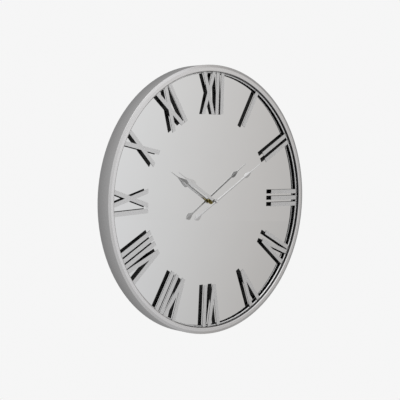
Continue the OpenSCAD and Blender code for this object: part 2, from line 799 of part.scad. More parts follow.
module coil_core() at_arbor() color(steel)
    slab(coil_x - core_w / 2, coil_x + core_w / 2, core_low, core_high,
         stator_front - core_t, stator_front);

module coil_bobbin() at_arbor() color(pale_plastic) translate([coil_x, coil_y, 0]) difference() {
    union() {
        translate([0, 0, coil_low]) cylinder(r = bobbin_tube_r, h = coil_high - coil_low);
        for (z = [coil_low, coil_high - coil_flange_t])
            slab(-coil_flange / 2, coil_flange / 2, z, z + coil_flange_t,
                 -coil_flange / 2, coil_flange / 2);
    }
    slab(-core_w / 2 - seat_gap, core_w / 2 + seat_gap, coil_low - cut_over, coil_high + cut_over,
         -core_t / 2 - seat_gap, core_t / 2 + seat_gap);
}

module coil_winding() at_arbor() color([0.7, 0.35, 0.18]) translate([coil_x, coil_y, 0]) difference() {
    low = coil_low + coil_flange_t + seat_gap;
    high = coil_high - coil_flange_t - seat_gap;
    translate([0, 0, low]) cylinder(r = coil_r, h = high - low);
    translate([0, 0, low - cut_over]) cylinder(r = bobbin_tube_r + seat_gap, h = high - low + 2 * cut_over);
}

module circuit_board() at_arbor() color([0.1, 0.35, 0.2])
    slab(pcb_left, pcb_right, pcb_low, pcb_high, pcb_front, pcb_back);

module clock_chip() at_arbor() color(black_paint) at_axis(chip_place)
    slab(-chip_size / 2, chip_size / 2, -chip_size / 2, chip_size / 2, pcb_back, pcb_back + chip_t);

module quartz_crystal() at_arbor() color(steel)
    translate([crystal_place[0], pcb_back + crystal_r, crystal_place[1]])
        cylinder(r = crystal_r, h = crystal_length);

// Arbor of the minute hand, with the pinion that drives the motion wheel
module minute_arbor() at_arbor() color(brass) difference() {
    union() {
        disc(minute_arbor_d / 2, arbor_front, level(2) + wheel_t + level_gap / 2);
        pinion_at_level(cannon_teeth, motion_module, level(1), motion_direction);
    }
    disc(pivot_r + running_gap, level(2) - running_gap, level(3));
}

module motion_wheel() at_arbor() color(pale_plastic) at_axis(motion_axis) difference() {
    union() {
        wheel_at_level(motion_teeth, motion_module, level(1), motion_direction + 180 + 180 / motion_teeth);
        pinion_at_level(motion_pinion_teeth, hour_module, level(0), motion_direction + 180);
        disc(knob_shaft_r + hub_wall, level(0) + wheel_t, level(1) + wheel_t);
    }
    disc(knob_shaft_r + seat_gap, level(0) - cut_over, level(1) + wheel_t + cut_over);
}

// Wheel and tube of the hour hand, which turn inside the bushing
module hour_wheel() at_arbor() color(brass) difference() {
    union() {
        wheel_at_level(hour_teeth, hour_module, level(0), motion_direction + 180 / hour_teeth);
        disc(hour_tube_d / 2, tube_front, level(0) + wheel_t);
    }
    disc(minute_arbor_d / 2 + running_gap, tube_front - cut_over, level(0) + wheel_t + cut_over);
}

module set_knob() at_arbor() color(dark_plastic) at_axis(motion_axis) {
    knob_front = case_back + level_gap / 2;
    grips = 24;
    grip_depth = 0.35;
    disc(knob_shaft_r, case_inside - pivot_depth, knob_front);
    plate(knob_front, knob_front + knob_t) polygon([
        for (k = [0 : 2 * grips - 1]) on_circle(knob_d / 2 - (k % 2) * grip_depth, 180 * k / grips)
    ]);
}

// Battery and its contacts

module battery() at_arbor() color([0.25, 0.27, 0.3]) {
    can_length = battery_length - button_t;
    translate([-battery_length / 2, battery_axis[0], battery_axis[1]]) rotate([0, 90, 0]) {
        cylinder(r = battery_d / 2, h = can_length);
        cylinder(r = button_r, h = battery_length);
    }
}

module positive_contact() at_arbor() color(steel) translate([bay_x, battery_axis[0], battery_axis[1]]) {
    translate([-contact_t, -contact_half, -contact_half])
        cube([contact_t, 2 * contact_half, 2 * contact_half]);
    translate([-contact_room, 0, 0]) rotate([0, 90, 0]) cylinder(r = button_r, h = contact_room);
}

// A strip on the end wall with a tongue folded back against the battery
module negative_contact() at_arbor() color(steel) translate([-bay_x, battery_axis[0], battery_axis[1]]) {
    translate([0, contact_half, 0]) rotate([90, 0, 0]) linear_extrude(height = 2 * contact_half) polygon([
        [0, -contact_half],
        [contact_t, -contact_half],
        [contact_t, contact_half - 3 * contact_t],
        [contact_room, -contact_t],
        [contact_room, 0],
        [contact_t, contact_half - contact_t],
        [contact_t, contact_half],
        [0, contact_half]
    ]);
}

// Hands

// A blade cut to an outline, with a ridge along z on both faces and thin edges
module ridged_blade(width, reach) {
    ridge = hand_t / 2 - hub_lip;
    edge_y = hand_edge / 2;
    side = width / 2;
    intersection() {
        plate(-hand_t / 2, hand_t / 2) children();
        translate([0, 0, -reach]) linear_extrude(height = 2 * reach) polygon([
            [0, -ridge], [side, -edge_y], [side, edge_y], [0, ridge], [-side, edge_y], [-side, -edge_y]
        ]);
    }
}

module hour_hand() at_arbor() rotate([0, hour_angle, 0]) color(silver_paint) difference() {
    union() {
        disc(hour_tube_d / 2 + hub_margin, hour_front, hour_back);
        translate([0, hour_mid, 0])
            ridged_blade(hour_leaf_w, hour_length + cut_over) polygon(mirrored(concat(
                [[hour_shaft_w / 2, 0]],
                leaf_side(hour_shaft_w, hour_leaf_w, hour_leaf_foot, hour_leaf_length, hour_leaf_skew),
                [[needle_w / 2 * needle_taper, hour_length]]
            )));
    }
    disc(hour_tube_d / 2 + seat_gap, hour_front - cut_over, hour_back + cut_over);
}

module hour_collet() at_arbor() color(brass)
    ring(hour_tube_d / 2 + seat_gap, hour_tube_d / 2 + collet_wall, hour_back, hour_back + hour_collet_t);

// The blade is bent outwards, so that its tip stands clear of the hour hand
module minute_hand() at_arbor() rotate([0, minute_angle, 0]) color(silver_paint) difference() {
    pear_foot = tail_length - pear_length;
    union() {
        disc(minute_arbor_d / 2 + hub_margin, minute_front, minute_back);
        difference() {
            translate([0, minute_mid, 0]) rotate([minute_tilt, 0, 0])
                ridged_blade(max(minute_leaf_w, pear_w), minute_length + cut_over) {
                    polygon(mirrored(concat(
                        [[minute_shaft_w / 2, 0]],
                        leaf_side(minute_shaft_w, minute_leaf_w, minute_leaf_foot, minute_leaf_length,
                                  minute_leaf_skew),
                        [[needle_w / 2 * needle_taper, minute_length]]
                    )));
                    mirror([0, 1]) polygon(mirrored(concat(
                        [[minute_shaft_w / 2, 0]],
                        leaf_side(minute_shaft_w, pear_w, pear_foot, pear_length, pear_skew)
                    )));
                }
            disc(cap_r + hub_step, minute_front - cap_t, minute_back + cap_t);
        }
    }
    disc(minute_arbor_d / 2 + seat_gap, minute_front - cut_over, minute_back + cut_over);
}

module minute_collet() at_arbor() color(brass)
    ring(minute_arbor_d / 2 + seat_gap, minute_arbor_d / 2 + collet_wall,
         minute_back, minute_back + minute_collet_t);

module cap_nut() at_arbor() color(brass) {
    difference() {
        revolve(concat(
            [[0, minute_front - cap_t]],
            arc([cap_r - cap_dome_r, minute_front - cap_t + cap_dome_r], cap_dome_r, -90, 0),
            [[cap_r, minute_front], [0, minute_front]]
        ));
        disc(minute_arbor_d / 2 + seat_gap, arbor_front - seat_gap, minute_front + cut_over);
    }
}

frame_hoop();
front_spacer();
numeral_ring();
for (hour = hours) numeral(hour);
rear_spacer();
mirror_glass();
backing_board();
board_tabs();
hanger_bracket();
hanger_screws();
movement_gasket();
movement_case();
movement_cover();
middle_plate();
threaded_bushing();
brass_washer();
hex_nut();
circuit_board();
clock_chip();
quartz_crystal();
coil_core();
coil_bobbin();
coil_winding();
stator();
rotor();
intermediate_wheel();
seconds_wheel();
third_wheel();
centre_wheel();
clutch_spring();
minute_arbor();
motion_wheel();
hour_wheel();
set_knob();
battery();
positive_contact();
negative_contact();
hour_hand();
hour_collet();
minute_hand();
minute_collet();
cap_nut();
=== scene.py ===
import json
import math

import bmesh
import bpy
from mathutils import Matrix, Vector


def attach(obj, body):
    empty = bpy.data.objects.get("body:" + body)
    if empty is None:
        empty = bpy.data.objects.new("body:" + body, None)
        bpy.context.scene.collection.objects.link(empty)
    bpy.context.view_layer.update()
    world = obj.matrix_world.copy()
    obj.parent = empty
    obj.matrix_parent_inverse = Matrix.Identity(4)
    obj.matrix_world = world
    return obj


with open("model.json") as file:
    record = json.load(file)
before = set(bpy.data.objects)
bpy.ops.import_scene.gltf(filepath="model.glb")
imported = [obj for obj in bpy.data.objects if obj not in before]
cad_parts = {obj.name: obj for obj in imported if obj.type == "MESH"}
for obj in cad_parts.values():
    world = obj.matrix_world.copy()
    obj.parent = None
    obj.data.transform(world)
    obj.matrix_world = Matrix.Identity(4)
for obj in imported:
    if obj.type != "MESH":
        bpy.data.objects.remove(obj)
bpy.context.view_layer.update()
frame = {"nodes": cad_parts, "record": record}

scene = bpy.context.scene
nodes = frame["nodes"]
scene.view_settings.view_transform = "Standard"

# Places are in metres: the origin is the hanger's seat on the wall, x to the right, y into the wall, z up
MM = 0.001
MICRON = 0.000001
TO_FRONT = (0, -1, 0)
TO_WALL = (0, 1, 0)


def box(name):
    """Low and high corner of a CAD node."""
    node = nodes[name]
    corners = [node.matrix_world @ Vector(corner) for corner in node.bound_box]
    low = Vector([min(values) for values in zip(*corners)])
    high = Vector([max(values) for values in zip(*corners)])
    return low, high


hoop_low, hoop_high = box("frame_hoop")
DIAL = Vector((0, hoop_low.y, (hoop_low.z + hoop_high.z) / 2))

# Most of a noise pattern lies between these two values
NOISE_LOW = 0.3
NOISE_HIGH = 0.7

# Sockets of a mix node that are in use when it mixes colours
MIX_FACTOR = 0
MIX_FIRST = 6
MIX_SECOND = 7
MIX_RESULT = 2


# Node tree helpers
class Tree:
    """A material's or world's node tree, with short ways to add and join nodes."""

    def __init__(self, tree):
        self.tree = tree
        tree.nodes.clear()

    def add(self, kind, inputs=None, **settings):
        node = self.tree.nodes.new(kind)
        for name, value in settings.items():
            setattr(node, name, value)
        for name, value in (inputs or {}).items():
            self.set(node.inputs[name], value)
        return node

    def set(self, socket, value):
        if isinstance(value, bpy.types.NodeSocket):
            self.tree.links.new(value, socket)
        else:
            socket.default_value = value

    def place(self):
        return self.add("ShaderNodeTexCoord").outputs["Object"]

    def normal(self):
        return self.add("ShaderNodeTexCoord").outputs["Normal"]

    def axes(self, vector):
        return self.add("ShaderNodeSeparateXYZ", {"Vector": vector}).outputs

    def math(self, operation, *values):
        node = self.add("ShaderNodeMath", dict(enumerate(values)), operation=operation)
        return node.outputs[0]

    def vector_math(self, operation, *values):
        node = self.add("ShaderNodeVectorMath", dict(enumerate(values)), operation=operation)
        return node.outputs["Vector"]

    def dot(self, a, b):
        node = self.add("ShaderNodeVectorMath", {0: a, 1: b}, operation="DOT_PRODUCT")
        return node.outputs["Value"]

    def step(self, value, low, high):
        """0 at low, 1 at high, a straight change between them and no change outside them."""
        return self.add("ShaderNodeMapRange", {"Value": value, "From Min": low, "From Max": high}).outputs[0]

    def noise(self, scale, detail=3.0, roughness=0.55):
        node = self.add("ShaderNodeTexNoise", {"Vector": self.place(), "Scale": scale,
                                               "Detail": detail, "Roughness": roughness})
        return node.outputs["Fac"]

    def ramp(self, factor, stops, interpolation="LINEAR"):
        node = self.add("ShaderNodeValToRGB", {"Fac": factor})
        ramp = node.color_ramp
        ramp.interpolation = interpolation
        while len(ramp.elements) < len(stops):
            ramp.elements.new(1.0)
        for element, (place, colour) in zip(ramp.elements, stops):
            element.position = place
            element.color = rgba(colour)
        return node.outputs["Color"]

    def spread(self, pattern, low, high):
        """A noise pattern turned into values from low to high."""
        return self.ramp(pattern, [(NOISE_LOW, low), (NOISE_HIGH, high)])

    def mix(self, factor, first, second):
        node = self.add("ShaderNodeMix", {MIX_FACTOR: factor}, data_type="RGBA")
        for socket, value in ((MIX_FIRST, first), (MIX_SECOND, second)):
            self.set(node.inputs[socket], value if isinstance(value, bpy.types.NodeSocket) else rgba(value))
        return node.outputs[MIX_RESULT]

    def bump(self, height, distance, strength=1.0):
        node = self.add("ShaderNodeBump", {"Height": height, "Distance": distance, "Strength": strength})
        return node.outputs["Normal"]


def rgba(colour):
    if isinstance(colour, (int, float)):
        return (colour, colour, colour, 1.0)
    return (*colour, 1.0)


def material(name, build):
    made = bpy.data.materials.new(name)
    made.use_nodes = True
    tree = Tree(made.node_tree)
    shader = build(tree)
    tree.add("ShaderNodeOutputMaterial", {"Surface": shader.outputs[0]})
    return made


def principled(tree, **inputs):
    names = {
        "colour": "Base Color", "metallic": "Metallic", "roughness": "Roughness", "normal": "Normal",
        "specular": "Specular IOR Level",
    }
    return tree.add("ShaderNodeBsdfPrincipled", {names[key]: value for key, value in inputs.items()})


def facing_back(tree, starts=-0.1, full=0.1):
    """0 on surfaces that look to the front of the clock, 1 on those that look to the wall."""
    return tree.step(tree.dot(tree.normal(), TO_WALL), starts, full)


def facing_in(tree, starts, full):
    """0 on surfaces that look away from the dial's axis, 1 on those that look towards it."""
    off_axis = tree.vector_math("SUBTRACT", tree.place(), tuple(DIAL))
    inward = tree.vector_math("NORMALIZE", tree.vector_math("MULTIPLY", off_axis, (-1, 0, -1)))
    return tree.step(tree.dot(tree.normal(), inward), starts, full)


# Materials
SIDE_CLOUD = 0.2
DULL_SPREAD = 0.08
HAND_CLOUD = 0.02
FACET_BLEND = 0.02
TAIL_FADE = 20 * MM
FIBRE_SHARE = 0.75
BATTERY_BARE = 1.65 * MM
BATTERY_BAND = 13.25 * MM
BAND_SHINE = 0.7
HOUR_TURN = math.radians(301.2)
MINUTE_TURN = math.radians(58.2)


def frame_paint_and_shade(tree):
    """Silver paint sprayed on steel from the front, cloudy, with a slight orange peel.

    Painted shade: along the side it runs from light at the front to dark towards the wall, and the inner edge
    is dark.
    """
    cloud = tree.noise(scale=9, detail=4.0)
    face = tree.spread(cloud, (0.80, 0.793, 0.795), (0.84, 0.833, 0.835))
    # Painted shade: the inner edge is dark where it looks towards the dial's axis
    inner_edge_painted_shade = tree.spread(cloud, 0.06, 0.10)
    # Painted shade: the side is light at the front and darker towards the wall
    shade_towards_wall = tree.step(tree.axes(tree.place())["Y"], DIAL.y, 0.0)
    clouded_side_shade = tree.math("MULTIPLY_ADD", cloud, SIDE_CLOUD, shade_towards_wall)
    side = tree.ramp(clouded_side_shade, [(SIDE_CLOUD / 2, (0.97, 0.961, 0.963)), (1.0, (0.70, 0.694, 0.696))])
    # The side's painted shade goes on surfaces that don't look to the front
    on_shaded_side = tree.step(tree.dot(tree.normal(), TO_FRONT), low=0.9, high=0.5)
    outside = tree.mix(on_shaded_side, face, side)
    # The inner edge's painted shade goes on surfaces that look towards the axis
    on_shaded_inner_edge = facing_in(tree, starts=0.55, full=0.95)
    return principled(tree, colour=tree.mix(on_shaded_inner_edge, outside, inner_edge_painted_shade), metallic=1.0,
                      roughness=tree.spread(tree.noise(scale=60), 0.17, 0.21),
                      normal=tree.bump(tree.noise(scale=220, detail=2.0), distance=4 * MICRON))


def two_tone_paint(low, high, shine, dull, back_starts, back_full):
    """Silver in front, black behind.

    The last two values say how far a surface looks to the wall where the black starts and where it is full.
    """
    def build(tree):
        cloud = tree.noise(scale=40)
        silver = tree.spread(cloud, low, high)
        black = tree.spread(cloud, 0.006, 0.010)
        back = facing_back(tree, back_starts, back_full)
        return principled(tree, colour=tree.mix(back, silver, black), specular=0.3,
                          metallic=tree.math("MULTIPLY_ADD", back, -shine, shine),
                          roughness=tree.spread(cloud, dull, dull + DULL_SPREAD),
                          normal=tree.bump(tree.noise(scale=260, detail=2.0), distance=3 * MICRON))
    return build


def polished_cap(tree):
    """Nickel plate, bright on the face, with painted shade on the turned side."""
    wear = tree.noise(scale=900, detail=2.0)
    face = tree.spread(wear, 0.92, 0.97)
    # Painted shade: the turned side is dark
    side = tree.spread(wear, 0.24, 0.34)
    on_shaded_side = facing_back(tree, starts=-0.85, full=-0.5)
    return principled(tree, colour=tree.mix(on_shaded_side, face, side), metallic=1.0,
                      roughness=tree.spread(wear, 0.08, 0.14))


def hand_metal(turn, front, back, tail_front, tail_back):
    """Silvered sheet with a ridge, with painted light and shade: each facet of each face has its own tone.

    The first tone of a pair is on the facet to the counter-clockwise side, the second on the other.
    """
    pointing = Vector((math.sin(turn), 0, math.cos(turn)))
    clockwise = Vector((math.cos(turn), 0, -math.sin(turn)))
    hub = pointing.dot(DIAL)

    def build(tree):
        cloud = tree.noise(scale=70)
        clockwise_facet = tree.step(tree.dot(tree.normal(), tuple(clockwise)), -FACET_BLEND, FACET_BLEND)

        # Painted light and shade: a tone for each facet
        def facet_shades(pair):
            tones = [tree.spread(cloud, tone - HAND_CLOUD, tone + HAND_CLOUD) for tone in pair]
            return tree.mix(clockwise_facet, *tones)

        behind = facing_back(tree, starts=0.3, full=0.5)
        past_hub = tree.step(tree.dot(tree.place(), tuple(pointing)), hub - TAIL_FADE, hub)
        # Painted light and shade differ between front and back, and between tail and blade
        tail = tree.mix(behind, facet_shades(tail_front), facet_shades(tail_back))
        blade = tree.mix(behind, facet_shades(front), facet_shades(back))
        return principled(tree, colour=tree.mix(past_hub, tail, blade), metallic=1.0,
                          roughness=tree.spread(cloud, 0.24, 0.32),
                          normal=tree.bump(tree.noise(scale=300, detail=2.0), distance=3 * MICRON))
    return build


def spacer_black(tree):
    """Black matt plastic."""
    cloud = tree.noise(scale=30)
    return principled(tree, colour=tree.spread(cloud, 0.008, 0.013), specular=0.2,
                      roughness=tree.spread(cloud, 0.55, 0.65),
                      normal=tree.bump(tree.noise(scale=60, detail=2.0), distance=6 * MICRON))


def mirror_silver(tree):
    """Silvered glass with a very faint haze, and grey protective paint behind."""
    silver = tree.spread(tree.noise(scale=14, detail=4.0), (0.865, 0.868, 0.868), (0.875, 0.877, 0.877))
    back = facing_back(tree)
    return principled(tree, colour=tree.mix(back, silver, (0.22, 0.24, 0.25)),
                      metallic=tree.math("SUBTRACT", 1.0, back),
                      roughness=tree.math("MULTIPLY", back, 0.5))


def hardboard(tree):
    """Brown pressed fibre with a smooth, slightly mottled face."""
    fibre = tree.noise(scale=380, detail=6.0, roughness=0.7)
    mottle = tree.math("MULTIPLY", tree.noise(scale=24, detail=4.0), 1 - FIBRE_SHARE)
    tone = tree.math("MULTIPLY_ADD", fibre, FIBRE_SHARE, mottle)
    brown = [(0.32, (0.13, 0.07, 0.032)), (0.5, (0.22, 0.125, 0.06)), (0.68, (0.32, 0.20, 0.105))]
    return principled(tree, colour=tree.ramp(tone, brown), roughness=tree.spread(fibre, 0.55, 0.75),
                      normal=tree.bump(fibre, distance=100 * MICRON, strength=0.6))


def zinc_steel(tree):
    """Zinc-plated sheet steel, with its cloudy spangle."""
    spangle = tree.noise(scale=150, detail=2.0)
    colour = tree.spread(spangle, (0.42, 0.43, 0.44), (0.60, 0.605, 0.60))
    grain = tree.noise(scale=1200, detail=2.0)
    return principled(tree, colour=colour, metallic=1.0,
                      roughness=tree.spread(tree.noise(scale=420), 0.26, 0.44),
                      normal=tree.bump(grain, distance=20 * MICRON, strength=0.4))


def moulded(colours, roughness, grain_depth):
    """Moulded plastic with a fine spark-eroded texture; its colour and roughness lie between two values."""
    def build(tree):
        grain = tree.noise(scale=1500, detail=2.0)
        return principled(tree, colour=tree.spread(tree.noise(scale=60), *colours),
                          roughness=tree.spread(grain, *roughness),
                          normal=tree.bump(grain, grain_depth, strength=0.6))
    return build


def turned_brass(tree):
    """Brass, dark in random patches: painted shade standing in for the dark gaps between its pieces."""
    shade_patches = tree.noise(scale=260)
    # Painted shade: the dark patches
    colour = tree.ramp(shade_patches, [(0.38, (0.05, 0.045, 0.018)), (0.62, (0.44, 0.36, 0.12))])
    grain = tree.noise(scale=900, detail=2.0)
    return principled(tree, colour=colour, metallic=1.0, roughness=tree.spread(shade_patches, 0.34, 0.20),
                      normal=tree.bump(grain, distance=20 * MICRON, strength=0.5))


def copper_wire(tree):
    """Fine enamelled wire, wound side by side."""
    turns = tree.add("ShaderNodeTexWave", {"Vector": tree.place(), "Scale": 1600.0, "Distortion": 0.3},
                     bands_direction="Z").outputs["Fac"]
    # Painted shade: the wire is darker in the grooves between turns
    shaded_groove, crest = 0.2, 0.8
    colour = tree.ramp(turns, [(shaded_groove, (0.22, 0.07, 0.025)), (crest, (0.62, 0.26, 0.10))])
    return principled(tree, colour=colour, metallic=0.8,
                      roughness=tree.ramp(turns, [(shaded_groove, 0.5), (crest, 0.3)]),
                      normal=tree.bump(turns, distance=50 * MICRON))


def battery_wrap(tree):
    """Plain wrap in two tones on the can; bare steel at both ends."""
    end = box("battery")[1].x
    x = tree.axes(tree.place())["X"]
    band = tree.math("GREATER_THAN", x, end - BATTERY_BAND)
    bare = tree.math("GREATER_THAN", tree.math("ABSOLUTE", x), end - BATTERY_BARE)
    scuff = tree.noise(scale=300)
    body = tree.spread(scuff, (0.012, 0.013, 0.015), (0.022, 0.023, 0.026))
    top = tree.spread(scuff, (0.36, 0.25, 0.10), (0.44, 0.31, 0.13))
    return principled(tree, colour=tree.mix(bare, tree.mix(band, body, top), (0.55, 0.55, 0.56)),
                      metallic=tree.math("MAXIMUM", tree.math("MULTIPLY", band, BAND_SHINE), bare),
                      roughness=tree.spread(scuff, 0.22, 0.34))


numeral_paint = two_tone_paint((0.72, 0.72, 0.722), (0.76, 0.76, 0.762), shine=0.9, dull=0.26,
                               back_starts=-0.3, back_full=-0.1)
# Painted light: the ring's silver is lighter than the numerals', against the shade of the frame's lip
lightened_ring_paint = two_tone_paint((0.94, 0.94, 0.942), (0.97, 0.97, 0.972), shine=0.75, dull=0.30,
                            back_starts=0.15, back_full=0.45)
# The tones of the hands' facets are painted light and shade
hour_metal = hand_metal(HOUR_TURN, front=(0.74, 0.80), back=(0.97, 0.47),
                        tail_front=(0.74, 0.80), tail_back=(0.97, 0.47))
minute_metal = hand_metal(MINUTE_TURN, front=(0.90, 0.58), back=(0.50, 0.42),
                          tail_front=(0.76, 0.68), tail_back=(0.68, 0.74))
black_plastic = moulded((0.012, 0.020), (0.38, 0.60), grain_depth=40 * MICRON)
natural_plastic = moulded(((0.55, 0.52, 0.42), (0.66, 0.63, 0.53)), (0.30, 0.46), grain_depth=20 * MICRON)
black_rubber = moulded((0.010, 0.016), (0.65, 0.85), grain_depth=50 * MICRON)
circuit_resin = moulded(((0.010, 0.08, 0.035), (0.016, 0.12, 0.05)), (0.25, 0.40), grain_depth=20 * MICRON)
chip_resin = moulded((0.010, 0.015), (0.30, 0.50), grain_depth=20 * MICRON)

SLOT_MATERIALS = {
    "frame_silver": material("frame_silver_paint_and_shade", frame_paint_and_shade),
    "numeral_silver": material("numeral_two_tone_paint", numeral_paint),
    "hand_silver": material("minute_hand_metal_painted_shade", minute_metal),
    "spacer_black": material("spacer_black_matt", spacer_black),
    "mirror": material("mirror_silvering", mirror_silver),
    "board": material("brown_hardboard", hardboard),
    "steel": material("zinc_plated_steel", zinc_steel),
    "black_plastic": material("movement_black_plastic", black_plastic),
    "natural_plastic": material("natural_plastic", natural_plastic),
    "brass": material("turned_brass", turned_brass),
    "rubber": material("black_rubber", black_rubber),
    "circuit_green": material("circuit_board_green", circuit_resin),
    "chip_black": material("chip_black_resin", chip_resin),
    "copper_wire": material("enamelled_copper_wire", copper_wire),
    "battery_wrap": material("battery_plain_wrap", battery_wrap),
}

# Nodes that look different from the rest of their slot, through painted light and shade
NODE_MATERIALS = {
    "numeral_ring": material("ring_two_tone_paint_lightened", lightened_ring_paint),
    "hour_hand": material("hour_hand_metal_painted_shade", hour_metal),
    "cap_nut": material("polished_cap", polished_cap),
}

for subpart in frame["record"]["subparts"]:
    node = nodes[subpart["node"]]
    node.data.materials.clear()
    node.data.materials.append(NODE_MATERIALS.get(subpart["node"], SLOT_MATERIALS[subpart["material_slot"]]))

# Raised marks moulded on the back of the movement's cover, as outlines in millimetres: x and height
MARK_HEIGHT = 0.35
MARK_SINK = 0.1
MARK_ROUND = 0.08
MARK_SEGMENTS = 2
ARROW_RADIUS = 7.4
ARROW_WIDTH = 0.9
ARROW_HEAD_WIDTH = 2.6
ARROW_START = 55
ARROW_END = 305
ARROW_HEAD_TURN = 15
ARROW_STEPS = 40
RIM_SIDE_INSET = 1.8
RIM_END_INSET = 1.75
RIM_WIDTH = 0.7
RIM_CORNER = 2.2
CORNER_STEPS = 8
SIGN_SIDE_INSET = 6.5
SIGN_END_INSET = 5.55
SIGN_ARM = 1.9
SIGN_HALF_WIDTH = 0.35

cover_low, cover_high = (corner / MM for corner in box("movement_cover"))
cover_back = cover_high.y
knob_low, knob_high = (corner / MM for corner in box("set_knob"))
knob_axis = (knob_low.xz + knob_high.xz) / 2
sign_z = cover_low.z + SIGN_END_INSET


def on_arc(centre, radius, degrees):
    angle = math.radians(degrees)
    return (centre[0] + radius * math.cos(angle), centre[1] + radius * math.sin(angle))


def turning_arrow():
    """An arc around the knob with a head at each end, because the knob turns both ways."""
    turns = [ARROW_START + (ARROW_END - ARROW_START) * i / ARROW_STEPS for i in range(ARROW_STEPS + 1)]
    outside = [on_arc(knob_axis, ARROW_RADIUS + ARROW_WIDTH / 2, turn) for turn in turns]
    inside = [on_arc(knob_axis, ARROW_RADIUS - ARROW_WIDTH / 2, turn) for turn in turns]
    far_head = [on_arc(knob_axis, ARROW_RADIUS + ARROW_HEAD_WIDTH / 2, ARROW_END),
                on_arc(knob_axis, ARROW_RADIUS, ARROW_END + ARROW_HEAD_TURN),
                on_arc(knob_axis, ARROW_RADIUS - ARROW_HEAD_WIDTH / 2, ARROW_END)]
    near_head = [on_arc(knob_axis, ARROW_RADIUS - ARROW_HEAD_WIDTH / 2, ARROW_START),
                 on_arc(knob_axis, ARROW_RADIUS, ARROW_START - ARROW_HEAD_TURN),
                 on_arc(knob_axis, ARROW_RADIUS + ARROW_HEAD_WIDTH / 2, ARROW_START)]
    return outside + far_head + inside[::-1] + near_head


def rounded_frame(inset):
    """Outline of the rim along the cover's edges, or of its inside."""
    side, end = RIM_SIDE_INSET + RIM_CORNER, RIM_END_INSET + RIM_CORNER
    left, right = cover_low.x + side, cover_high.x - side
    low, high = cover_low.z + end, cover_high.z - end
    centres = [(right, high), (left, high), (left, low), (right, low)]
    return [on_arc(centre, RIM_CORNER - inset, 90 * (quarter + i / CORNER_STEPS))
            for quarter, centre in enumerate(centres) for i in range(CORNER_STEPS + 1)]


def plus_sign():
    quarter = [(SIGN_ARM, -SIGN_HALF_WIDTH), (SIGN_ARM, SIGN_HALF_WIDTH), (SIGN_HALF_WIDTH, SIGN_HALF_WIDTH)]
    outline = []
    for _ in range(4):
        outline += quarter
        quarter = [(-z, x) for x, z in quarter]
    return [(cover_high.x - SIGN_SIDE_INSET + x, sign_z + z) for x, z in outline]


def minus_sign():
    corners = [(SIGN_ARM, -SIGN_HALF_WIDTH), (SIGN_ARM, SIGN_HALF_WIDTH),
               (-SIGN_ARM, SIGN_HALF_WIDTH), (-SIGN_ARM, -SIGN_HALF_WIDTH)]
    return [(cover_low.x + SIGN_SIDE_INSET + x, sign_z + z) for x, z in corners]


def moulded_mark(name, outline, hole=None):
    """A raised outline on the cover, with soft edges; a hole has as many points as the outline."""
    mesh = bmesh.new()

    def loop(points, y):
        return [mesh.verts.new((x * MM, y * MM, z * MM)) for x, z in points]

    def wall(low, high):
        for i in range(len(low)):
            mesh.faces.new((low[i - 1], low[i], high[i], high[i - 1]))

    low = loop(outline, cover_back - MARK_SINK)
    high = loop(outline, cover_back + MARK_HEIGHT)
    wall(low, high)
    if hole:
        hole_low = loop(hole, cover_back - MARK_SINK)
        hole_high = loop(hole, cover_back + MARK_HEIGHT)
        wall(hole_low, hole_high)
        wall(low, hole_low)
        wall(high, hole_high)
    else:
        mesh.faces.new(low)
        mesh.faces.new(high)
    bmesh.ops.recalc_face_normals(mesh, faces=mesh.faces[:])
    data = bpy.data.meshes.new(name)
    mesh.to_mesh(data)
    mesh.free()
    data.materials.append(SLOT_MATERIALS["black_plastic"])
    piece = bpy.data.objects.new(name, data)
    scene.collection.objects.link(piece)
    soft = piece.modifiers.new("soft_edges", "BEVEL")
    soft.width = MARK_ROUND * MM
    soft.segments = MARK_SEGMENTS
    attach(piece, "clock_body")


moulded_mark("cover_turning_arrow", turning_arrow())
moulded_mark("cover_rim", rounded_frame(0), rounded_frame(RIM_WIDTH))
moulded_mark("cover_plus_sign", plus_sign())
moulded_mark("cover_minus_sign", minus_sign())

# Camera, from a fit of the frame's ellipses in the photograph; its place is counted from the dial's centre
CAMERA_PLACE = Vector((-1478.2, -1516.4, 133.0)) * MM
CAMERA_YAW = math.radians(43.354)
CAMERA_PITCH = math.radians(-3.594)
CLOCK_ROLL = math.radians(-0.75)
PHOTO_SIDE = 400
FOCAL_PIXELS = 949.7
SENSOR = 36.0
CLIP_START = 0.01

forward = Vector((math.sin(CAMERA_YAW) * math.cos(CAMERA_PITCH),
                  math.cos(CAMERA_YAW) * math.cos(CAMERA_PITCH), math.sin(CAMERA_PITCH)))
right = Vector((math.cos(CAMERA_YAW), -math.sin(CAMERA_YAW), 0))
up = right.cross(forward)
facing = Matrix((right, up, -forward)).transposed().to_4x4()
camera_data = bpy.data.cameras.new("photo_camera")
camera_data.sensor_width = SENSOR
camera_data.sensor_fit = "HORIZONTAL"
camera_data.lens = FOCAL_PIXELS * SENSOR / PHOTO_SIDE
camera_data.clip_start = CLIP_START
camera = bpy.data.objects.new("photo_camera", camera_data)
scene.collection.objects.link(camera)
camera.matrix_world = (Matrix.Translation(DIAL) @ Matrix.Rotation(CLOCK_ROLL, 4, "Y")
                       @ Matrix.Translation(CAMERA_PLACE) @ facing)
scene.camera = camera

